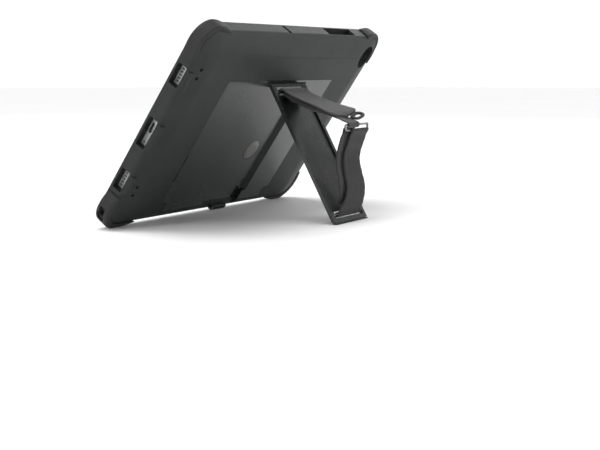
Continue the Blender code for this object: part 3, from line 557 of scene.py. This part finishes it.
def side_opening(y_low, y_high, side):
    """Rounded slot through a short side, looking along X."""
    matrix = CASE_M @ Matrix.Rotation(math.pi / 2, 4, "Y")
    z_low, z_high = 0.0036, 0.0124
    outline = rounded_rect((z_high - z_low) / 2, (y_high - y_low) / 2, 0.0009,
                           (-(z_low + z_high) / 2, (y_low + y_high) / 2), 5)
    start, end = sorted((side * (TABLET_X - 0.0005), side * 0.145))
    return prism("cutter", outline, start, end, matrix)


def chin(y_low, y_high, side):
    """Flat pad that carries the side wall down beside an opening, onto the back."""
    profile = [(side * 0.1300, 0.0048), (side * 0.1356, 0.0048), (side * 0.1353, 0.0016),
               (side * 0.1347, 0.0000), (side * 0.1338, -0.0008), (side * 0.1300, -0.0006)]
    rings = [[(x, y, z) for x, z in profile] for y in (y_low + 0.0004, y_high - 0.0016)]
    return new_piece("cutter", loft("cutter", rings), CASE_M)


def rib_cutters():
    """Spaces between the ribs that carry the tablet's edge."""
    wall_x, wall_y, rib = TABLET_X - 0.0015, TABLET_Y - 0.0015, 0.0008
    low, high = FLOOR_Z + 0.0003, TABLET_Z + 0.004
    bm = bmesh.new()

    def wedge(quad):
        rows = [[bm.verts.new((x, y, z)) for x, y in quad] for z in (low, high)]
        for i in range(4):
            j = (i + 1) % 4
            bm.faces.new((rows[0][i], rows[0][j], rows[1][j], rows[1][i]))
        bm.faces.new(rows[0])
        bm.faces.new(rows[1])

    long_edges = [-0.092 + 0.0184 * k for k in range(11)]
    short_edges = [-0.054 + 0.018 * k for k in range(7)]
    for side in (-1, 1):
        for a, b in zip(long_edges, long_edges[1:]):
            a, b = a + rib, b - rib
            wedge([(a, side * wall_y), (b, side * wall_y),
                   (0.76 * b, side * 0.056), (0.76 * a, side * 0.056)])
        for a, b in zip(short_edges, short_edges[1:]):
            a, b = a + rib, b - rib
            wedge([(side * wall_x, a), (side * wall_x, b),
                   (side * 0.090, 0.62 * b), (side * 0.090, 0.62 * a)])
    return new_piece("cutter", from_bmesh(bm, "cutter"), CASE_M)


def make_shell():
    mesh = loft("case_shell_fine", back_rings() + wall_rings() + inside_rings())
    shell = new_piece("case_shell_fine", mesh, CASE_M)
    openings = [(-0.0180, 0.0080, 1)]
    for side in (-1, 1):
        openings += [(low, high, side) for low, high in ((0.0390, 0.0570), (-0.0595, -0.0410))]
    for opening in openings:
        if opening[2] > 0:
            carve(shell, chin(*opening), operation="UNION")
    shell_cutters = [
        rib_cutters(),
        prism("cutter", panel_outline(GAP), -0.010, PANEL_IN + GAP, CASE_M),
        block((-0.070, -0.040, -0.01), (0.070, 0.040, 0.01), CASE_M, 0.003),
        block((LEG_X - 0.0278, -0.0900, -0.010), (LEG_X + 0.0278, -0.0820, POCKET_Z),
              CASE_M),
        block((0.0195, 0.0840, 0.0030), (0.0235, 0.098, 0.0130), CASE_M),
        block((-0.0885, 0.0840, 0.0036), (-0.0420, 0.098, 0.0130), CASE_M),
        tube(0.0117, (*CAMERA_HOLE, -0.004), (*CAMERA_HOLE, 0.010), CASE_M, 56, 0.0096)]
    for y in (0.0590, 0.0510, -0.0520, -0.0600):
        shell_cutters.append(tube(0.0015, (0.1245, y, -0.004), (0.1245, y, 0.010),
                                  CASE_M, 20))
    shell_cutters += [side_opening(*opening) for opening in openings]
    for sx in (-1, 1):
        for sy in (-1, 1):
            shell_cutters.append(anchor_cutter(sx, sy))
    carve(shell, *shell_cutters)
    soften(shell, 0.00022, 2, 38)
    return finish(shell, "case_shell")


def bumper_stations(sx, sy):
    lower = sy < 0
    arm_x, arm_y = (0.020 if lower else 0.011), 0.012
    thick, swell = (0.0044, 0.0008) if lower else (0.0030, 0.0006)
    cx, cy = CASE_X - CASE_R, CASE_Y - CASE_R
    stations = []
    arm_steps, arc_steps = 5, 20
    for k in range(arm_steps):
        t = k / arm_steps
        stations.append(((cx - arm_x * (1 - t), CASE_Y), (0, 1),
                         0.0012 + (thick - 0.0012) * math.sin(t * math.pi / 2)))
    for k in range(arc_steps + 1):
        angle = math.pi / 2 * (1 - k / arc_steps)
        normal = (math.cos(angle), math.sin(angle))
        point = (cx + CASE_R * normal[0], cy + CASE_R * normal[1])
        stations.append((point, normal, thick + swell * math.sin(2 * angle)))
    for k in range(1, arm_steps + 1):
        t = 1 - k / arm_steps
        stations.append(((CASE_X, cy - arm_y * (1 - t)), (1, 0),
                         0.0012 + (thick - 0.0012) * math.sin(t * math.pi / 2)))
    return [((sx * p[0], sy * p[1]), (sx * n[0], sy * n[1]), t) for p, n, t in stations]


def bumper_section(px, py, nx, ny, thick, groove):
    """Bumper outline at one station; groove is how far its back edge is cut away."""
    corners = ((GAP, RIM_Z - 0.0014, 0), (thick - 0.0004, RIM_Z - 0.0016, 0.0010),
               (thick, RIM_Z - 0.0046, 0.0020), (thick, 0.0030, 0.0012),
               (thick - 0.0010, 0.0008 + groove, 0.0006),
               (thick * 0.4 - 0.0010, 0.0004 + groove * 1.8, 0.0005),
               (-0.0012 + groove, 0.0006 + groove * 1.6, 0), (-0.0008 + GAP, 0.0021, 0),
               (GAP, 0.0042, 0))
    return [(px + nx * d, py + ny * d, z) for d, z in fillet(corners, 3)]


def make_bumper(name, sx, sy):
    """Corner cap: rounded section swept round the corner; the lower caps get the strap anchor's holes."""
    stations = bumper_stations(sx, sy)
    rings = []
    for k, ((px, py), (nx, ny), thick) in enumerate(stations):
        across = math.sin(math.pi * k / (len(stations) - 1))
        groove = 0.0011 * min(1.0, 2.4 * across ** 2) if sy > 0 else 0.0004 * across
        rings.append(bumper_section(px, py, nx, ny, thick, groove))
    bumper = new_piece("%s_fine" % name, loft(name, rings), CASE_M)
    cutters = []
    if sy < 0:
        cutters.append(anchor_cutter(sx, sy))
        cutters.append(anchor_recess(sx, sy))
        cutters.append(block((-0.2, -0.2, -0.05), (0.2, 0.2, 0.0), WORLD_M))
    carve(bumper, *cutters)
    soften(bumper, 0.00025, 2, 42)
    return finish(bumper, name)


def anchor_recess(sx, sy):
    """Rounded pocket at a lower corner, round the shoulder-strap anchor's holes."""
    centre = Vector((sx * (CASE_X - CASE_R), sy * (CASE_Y - CASE_R), 0.0078))
    away = Vector((sx, sy * 0.55, 0)).normalized()
    matrix = CASE_M @ Matrix.Translation(centre + away * 0.0223) @ Matrix.Rotation(
        math.atan2(away.y, away.x), 4, "Z") @ Matrix.Rotation(math.pi / 2, 4, "Y")
    outline = rounded_rect(0.0036, 0.0048, 0.0030, steps=8)
    return prism("cutter", outline, -0.0036, 0.003, matrix)


def make_crease(name, x_low, x_high, y):
    """Fine raised bead along the upper break of the back."""
    rings = []
    steps = 40
    for k in range(steps + 1):
        t = k / steps
        x = x_low + (x_high - x_low) * t
        size = 0.00030 * min(1.0, 6 * math.sin(math.pi * t) + 0.05)
        rings.append([(x, y + size * 1.5 * math.cos(a), BACK_Z + 0.00004 - size * math.sin(a))
                      for a in (0, 0.6, 1.2, 1.9, 2.5, math.pi)])
    bead = new_piece(name, loft(name, rings), CASE_M)
    shade(bead, 80)
    return finish(bead, slot="bumper_rubber", body="case")


def make_disc():
    """Polished keeper plate of the stand magnet, turned with a shallow dish."""
    centre = (-0.0195, -0.0280)
    profile = [(0.0, -0.00022), (0.0052, -0.00022), (0.0054, -0.00030), (0.0072, -0.00030),
               (0.0074, -0.00024), (0.0090, -0.00024), (0.0095, -0.00005),
               (0.0095, 0.0003), (0.0, 0.0003)]
    sides = 72
    bm = bmesh.new()
    verts = [bm.verts.new((r, 0, z)) for r, z in profile]
    edges = [bm.edges.new(pair) for pair in zip(verts, verts[1:])]
    bmesh.ops.spin(bm, geom=verts + edges, cent=(0, 0, 0), axis=(0, 0, 1),
                   angle=2 * math.pi, steps=sides, use_duplicate=False)
    bmesh.ops.remove_doubles(bm, verts=bm.verts, dist=1e-6)
    bm.transform(Matrix.Translation((*centre, POCKET_Z)))
    disc = new_piece("stand_magnet_fine", from_bmesh(bm, "stand_magnet_fine"), CASE_M)
    shade(disc, 20)
    return finish(disc, "stand_magnet")


# ---------------------------------------------------------------- straps
def smooth_path(points, count):
    """Catmull-Rom curve through given points."""
    rows = [Vector(p) for p in points]
    rows = [2 * rows[0] - rows[1]] + rows + [2 * rows[-1] - rows[-2]]
    result = []
    spans = len(rows) - 3
    for i in range(count):
        place = i / (count - 1) * spans
        k = min(int(place), spans - 1)
        t = place - k
        a, b, c, d = rows[k:k + 4]
        result.append(0.5 * (2 * b + (c - a) * t + (2 * a - 5 * b + 4 * c - d) * t ** 2
                             + (3 * b - 3 * c + d - a) * t ** 3))
    return result


def wrap_points(down, first, middle, half):
    reach = BAR_R + 0.0003 + STRAP_T / 2
    turn = ((1.0, 0.0), (0.7, -0.6), (0.0, -0.86), (-0.7, -0.6), (-1.0, 0.0))
    return [(down + first * a * reach, -BAR_Z + b * reach, middle, half) for a, b in turn]


def webbing_points():
    wide, slim, slim_x = 0.0202, 0.0105, 0.0060
    bunched, bunched_x = 0.0096, 0.0051
    points = [(0.0508, 0.0420, STRAP_X, 0.0072), (0.0495, 0.0406, STRAP_X, 0.0100),
              (0.0470, 0.0380, STRAP_X, 0.0165), (0.0430, 0.0340, STRAP_X, wide),
              (0.0355, 0.0268, STRAP_X, wide), (0.0285, 0.0202, STRAP_X, wide),
              (0.0210, 0.0132, STRAP_X, wide), (0.0130, 0.0066, STRAP_X, wide),
              (SLOT_TOP - 0.0008, 0.0030, STRAP_X, wide)]
    points += wrap_points(SLOT_TOP, -1, STRAP_X, wide)
    points += [(SLOT_TOP + 0.0036, 0.0022, STRAP_X, wide), (0.0180, 0.0062, 0.0005, 0.0190),
               (0.0260, 0.0120, 0.0020, 0.0165), (0.0350, 0.0198, 0.0035, 0.0140),
               (0.0440, 0.0294, 0.0045, 0.0112), (0.0510, 0.0364, bunched_x, bunched),
               (0.0567, 0.0413, bunched_x, bunched)]
    turn = RING_WIRE + 0.0003 + STRAP_T / 2
    for degrees in (130, 95, 60, 25, -10, -35):
        angle = math.radians(degrees)
        points.append((RING_TOP[0] + turn * math.cos(angle),
                       RING_TOP[1] + turn * math.sin(angle), bunched_x, bunched))
    points += [(0.0613, 0.0392, bunched_x, bunched), (0.0617, 0.0378, bunched_x, bunched),
               (0.0631, 0.0365, bunched_x, bunched), (0.0652, 0.0349, 0.0055, 0.0100),
               (0.0680, 0.0322, slim_x, slim), (0.0715, 0.0286, slim_x, slim),
               (0.0765, 0.0238, slim_x, slim), (0.0835, 0.0192, slim_x, slim),
               (0.0930, 0.0160, slim_x, slim), (0.1015, 0.0130, slim_x, slim),
               (0.1085, 0.0088, slim_x, slim), (0.1140, 0.0040, slim_x, slim)]
    return points


def elastic_points():
    narrow, band_x = 0.0144, -0.0060
    points = [(0.0638, 0.0418, band_x, narrow), (0.0655, 0.0413, band_x, narrow),
              (0.0666, 0.0396, band_x, narrow), (0.0686, 0.0367, band_x, narrow),
              (0.0725, 0.0325, band_x, narrow), (0.0772, 0.0270, band_x, narrow),
              (0.0840, 0.0218, band_x, narrow), (0.0940, 0.0184, band_x, 0.0153),
              (0.1030, 0.0158, -0.0065, 0.0158), (0.1105, 0.0122, -0.0050, 0.0168),
              (0.1160, 0.0078, -0.0030, 0.0185), (0.1190, 0.0046, -0.0020, 0.0198),
              (0.1206, 0.0028, STRAP_X, 0.0202), (SLOT_LOW + 0.0005, 0.0021, STRAP_X, 0.0202),
              (SLOT_LOW + 0.0014, 0.0013, STRAP_X, 0.0202)]
    points += wrap_points(SLOT_LOW, 1, STRAP_X, 0.0202)
    return points


def strap_section(half, thickness, across=22):
    """Cross-section with full round edges and a faintly crowned, ribbed face."""
    top, bottom = [], []
    for k in range(across + 1):
        t = -1 + 2 * k / across
        edge = math.sqrt(max(0.0, 1 - max(0.0, (abs(t) * half - half + thickness / 2)
                                          / (thickness / 2)) ** 2))
        lift = thickness / 2 * edge
        ribs = 0.00005 * math.cos(t * half / 0.0011 * math.pi)
        top.append((t * half, lift + ribs * edge))
        bottom.append((t * half, -lift + ribs * edge))
    return top + bottom[::-1]


def strap_mesh(name, points, thickness, count, ripple, twisted=0.0):
    """Ribbon mesh with UVs in metres and a small uneven waviness.

    The share of the stations that twisted says rolls towards the pull tab's angle.
    """
    stations = smooth_path(points, count)
    rings, lengths, wave = [], [0.0], random.uniform(0, 6)
    for i, (down, out, middle, half) in enumerate(stations):
        before, after = stations[max(i - 1, 0)], stations[min(i + 1, count - 1)]
        run = Vector((after[0] - before[0], after[1] - before[1])).normalized()
        side = Vector((-run.y, run.x))
        if i:
            lengths.append(lengths[-1] + math.hypot(down - stations[i - 1][0],
                                                    out - stations[i - 1][1]))
        roll = TAB_TWIST * max(0.0, 1 - i / (twisted * count)) ** 2 if twisted else 0.0
        ring = []
        for x, lift in strap_section(half, thickness):
            lift += ripple * math.sin(lengths[-1] * 900 + wave) * (x / half) ** 2
            proud = lift * math.cos(roll) + x * math.sin(roll)
            place = Vector((down, out)) + side * proud
            ring.append((middle + x * math.cos(roll) - lift * math.sin(roll),
                         -place.x, -place.y))
        rings.append(ring)
    mesh = loft(name, rings)
    add_uv(mesh, rings, lengths)
    return mesh, lengths[-1]


def add_uv(mesh, rings, lengths):
    """U runs across the strap and V along it, both in metres."""
    count = len(rings[0])
    layer = mesh.uv_layers.new(name="weave")
    for loop in mesh.loops:
        row, column = divmod(loop.vertex_index, count)
        layer.data[loop.index].uv = (rings[row][column][0], lengths[row])


def fuzz(name, mesh, count, length, slot):
    """Loose fibres: thin bent slivers that stand off the cloth's surface."""
    bm = bmesh.new()
    polygons = [p for p in mesh.polygons if p.area > 0]
    for _ in range(count):
        face = random.choice(polygons)
        corner = mesh.vertices[random.choice(face.vertices)].co
        root = face.center.lerp(corner, random.uniform(0.1, 0.9))
        away = (face.normal + Vector([random.uniform(-0.9, 0.9) for _ in range(3)]))
        away.normalize()
        side = away.orthogonal().normalized() * 0.00004
        bend = Vector([random.uniform(-1, 1) for _ in range(3)]) * length * 0.35
        reach = length * random.uniform(0.4, 1.0)
        spots = [root - face.normal * 0.0001, root + away * reach * 0.5,
                 root + away * reach + bend]
        rows = []
        for spot, width in zip(spots, (1.0, 0.8, 0.3)):
            rows.append([bm.verts.new(spot + side * width), bm.verts.new(spot - side * width),
                         bm.verts.new(spot + away.cross(side) * width)])
        for lower, upper in zip(rows, rows[1:]):
            for i in range(3):
                j = (i + 1) % 3
                bm.faces.new((lower[i], lower[j], upper[j], upper[i]))
        bm.faces.new(rows[0])
        bm.faces.new(rows[-1])
    piece = new_piece(name, from_bmesh(bm, name), WORLD_M)
    return finish(piece, slot=slot, body="stand")


def make_straps():
    for node, points, count, ripple, widest, fibres, twisted in (
            ("strap_webbing", webbing_points(), 336, 0.00008, 0.0404, 5200, 16 / 112),
            ("strap_elastic", elastic_points(), 180, 0.00010, 0.0404, 1500, 0.0)):
        mesh, length = strap_mesh(node + "_fine", points, STRAP_T - 0.0001, count, ripple,
                                  twisted)
        strap = new_piece(node + "_fine", mesh, LEG_M)
        shade(strap, 50)
        finish(strap, node)
        lint = fuzz(node + "_lint", mesh, fibres, 0.0007, SLOT[node])


def make_ring():
    """Two-bar ring bent from round wire, with its butt weld on the lower bar."""
    upper, lower = Vector(RING_TOP), Vector(RING_LOW)
    run = lower - upper
    outline = rounded_rect(0.0190, run.length / 2, 0.0014, steps=10)
    middle, run = (upper + lower) / 2, run.normalized()
    path = []
    for i, (x, along) in enumerate(outline):
        following = outline[(i + 1) % len(outline)]
        pieces = max(1, int(math.hypot(following[0] - x, following[1] - along) / 0.002))
        for k in range(pieces):
            t = k / pieces
            px = x + (following[0] - x) * t
            place = middle + run * (along + (following[1] - along) * t)
            path.append(Vector((RING_X + px, -place.x, -place.y)))
    bm = bmesh.new()
    sides, count = 16, len(path)
    normal = Vector((0, -run.x, -run.y)).cross(Vector((1, 0, 0))).normalized()
    rows = []
    for i, point in enumerate(path):
        ahead = (path[(i + 1) % count] - path[i - 1]).normalized()
        across = ahead.cross(normal)
        weld = math.exp(-((point - path[count // 2 + 8]).length / 0.0006) ** 2)
        size = RING_WIRE * (0.98 + 0.02 * weld)
        rows.append([bm.verts.new(point + size * (across * math.cos(w) + normal * math.sin(w)))
                     for w in [2 * math.pi * q / sides for q in range(sides)]])
    for i in range(count):
        lower_row, upper_row = rows[i], rows[(i + 1) % count]
        for a in range(sides):
            b = (a + 1) % sides
            bm.faces.new((lower_row[a], lower_row[b], upper_row[b], upper_row[a]))
    ring = new_piece("buckle_ring_fine", from_bmesh(bm, "buckle_ring_fine"), LEG_M)
    shade(ring, 60)
    return finish(ring, "buckle_ring")


# ---------------------------------------------------------------- everything else
def make_hard_parts():
    """CAD nodes whose shape is right: same solids with rounded edges."""
    for node, width in (("back_panel", 0.00035), ("bottom_loop", 0.0003),
                        ("stand_leg", 0.00028), ("foot_pad", 0.0002), ("pull_tab", 0.0003),
                        ("tablet_housing", 0.0002), ("cover_glass", 0.00015),
                        ("power_key", 0.0003), ("volume_key", 0.0003),
                        ("camera_window", 0.0002), ("inner_plate", 0.0001),
                        ("shock_band", 0.0001), ("hub_plate", 0.0001),
                        ("usb_c_socket", 0.0001), ("board_shield", 0.00015)):
        refined(node, width)
    for node in ("hinge_pin", "strap_bar_top", "strap_bar_low", "hub_disc_left",
                 "hub_disc_right"):
        refined(node, 0.0001, 1, angle=50)


def make_soft_parts():
    """Gel dampers and the foam pad under the tablet, each with its edges rounded."""
    for node, fill in (("damper_top_right", 0.8), ("damper_top_left", 0.8),
                       ("damper_bottom_right", 0.8), ("damper_bottom_left", 0.8),
                       ("foam_pad", 0.5)):
        piece = refined(node, 0.0006, 4)


def dress_hidden_nodes():
    """Sealed inner nodes keep their CAD shape and get the same finishes."""
    for node, obj in NODES.items():
        if obj.hide_render:
            continue
        obj.data.materials.clear()
        obj.data.materials.append(MATERIALS[SLOT[node]])


# ---------------------------------------------------------------- studio
HORIZON_BAND, HORIZON_LIGHT, SKY_LIGHT = 0.12, 1.05, 0.30
SUN_FROM, SUN_SPREAD, SUN_LIGHT = (0.1, -0.22, 1.0), math.radians(50), 2.25
LAMPS = (("side_light", (1.5, -0.3, 0.7), (0.7, 0.7), 9.0),
         ("right_light", (-0.9, 1.5, 0.30), (0.8, 0.8), 12.0),
         ("top_light", (-1.4, -0.1, 0.95), (0.9, 0.9), 7.0))


def make_floor():
    bm = bmesh.new()
    bmesh.ops.create_circle(bm, cap_ends=True, segments=96, radius=6.0)
    floor = new_piece("studio_floor", from_bmesh(bm, "studio_floor"),
                      Matrix.Translation((0, 0, -0.0001)))
    paint = Paint("studio_paper", (0.93, 0.93, 0.93), 0.85)
    paint.colour(paint.ramp(paint.noise(3.0, 2.0), [(0.3, (0.92, 0.92, 0.92)),
                                                    (0.7, (0.94, 0.94, 0.94))]))
    floor.data.materials.append(paint.mat)


def soft_light(name, place, aim, size, power):
    lamp = bpy.data.lights.new(name, "AREA")
    lamp.shape = "RECTANGLE"
    lamp.size, lamp.size_y = size
    lamp.energy = power
    obj = bpy.data.objects.new(name, lamp)
    bpy.context.scene.collection.objects.link(obj)
    obj.location = place
    obj.rotation_euler = (Vector(aim) - Vector(place)).to_track_quat("-Z", "Y").to_euler()


def make_sun():
    """Soft overhead light that lies evenly on the whole floor."""
    lamp = bpy.data.lights.new("overhead", "SUN")
    lamp.energy, lamp.angle = SUN_LIGHT, SUN_SPREAD
    obj = bpy.data.objects.new("overhead", lamp)
    bpy.context.scene.collection.objects.link(obj)
    obj.rotation_euler = (-Vector(SUN_FROM)).to_track_quat("-Z", "Y").to_euler()


def make_world():
    """Pale studio: bright towards the horizon, dimmer overhead."""
    world = bpy.data.worlds.new("studio")
    world.use_nodes = True
    nodes, links = world.node_tree.nodes, world.node_tree.links
    coords = nodes.new("ShaderNodeTexCoord")
    split = nodes.new("ShaderNodeSeparateXYZ")
    fade = nodes.new("ShaderNodeMapRange")
    fade.inputs["From Min"].default_value = HORIZON_BAND
    fade.inputs["From Max"].default_value = HORIZON_BAND + 0.25
    fade.inputs["To Min"].default_value = HORIZON_LIGHT
    fade.inputs["To Max"].default_value = SKY_LIGHT
    links.new(coords.outputs["Generated"], split.inputs[0])
    links.new(split.outputs["Z"], fade.inputs["Value"])
    links.new(fade.outputs["Result"], nodes["Background"].inputs["Strength"])
    nodes["Background"].inputs["Color"].default_value = (1, 1, 1, 1)
    bpy.context.scene.world = world


def make_studio():
    bpy.context.scene.view_settings.view_transform = "Standard"
    make_world()
    make_floor()
    make_sun()
    middle = CASE_M.translation
    for name, place, size, power in LAMPS:
        soft_light(name, place, middle, size, power)


def make_camera():
    """Main view: from beyond the port side, a little above the table."""
    offset = Vector((0.83815, 0.54985, 0.05142))
    yaw, pitch = math.radians(-58.94), math.radians(-7.79)
    data = bpy.data.cameras.new("camera")
    data.lens, data.sensor_width = 70.1, 36.0
    camera = bpy.data.objects.new("camera", data)
    bpy.context.scene.collection.objects.link(camera)
    camera.location = CASE_M.translation + offset
    look = Vector((math.sin(yaw) * math.cos(pitch), -math.cos(yaw) * math.cos(pitch),
                   math.sin(pitch)))
    camera.rotation_euler = look.to_track_quat("-Z", "Y").to_euler()
    bpy.context.scene.camera = camera


make_camera()
make_shell()
for label, sx, sy in (("top_right", 1, 1), ("top_left", -1, 1),
                      ("bottom_left", -1, -1), ("bottom_right", 1, -1)):
    make_bumper("bumper_" + label, sx, sy)
make_crease("back_crease", 0.083, -0.108, 0.071)
make_disc()
make_straps()
make_ring()
make_hard_parts()
make_soft_parts()
dress_hidden_nodes()
make_studio()
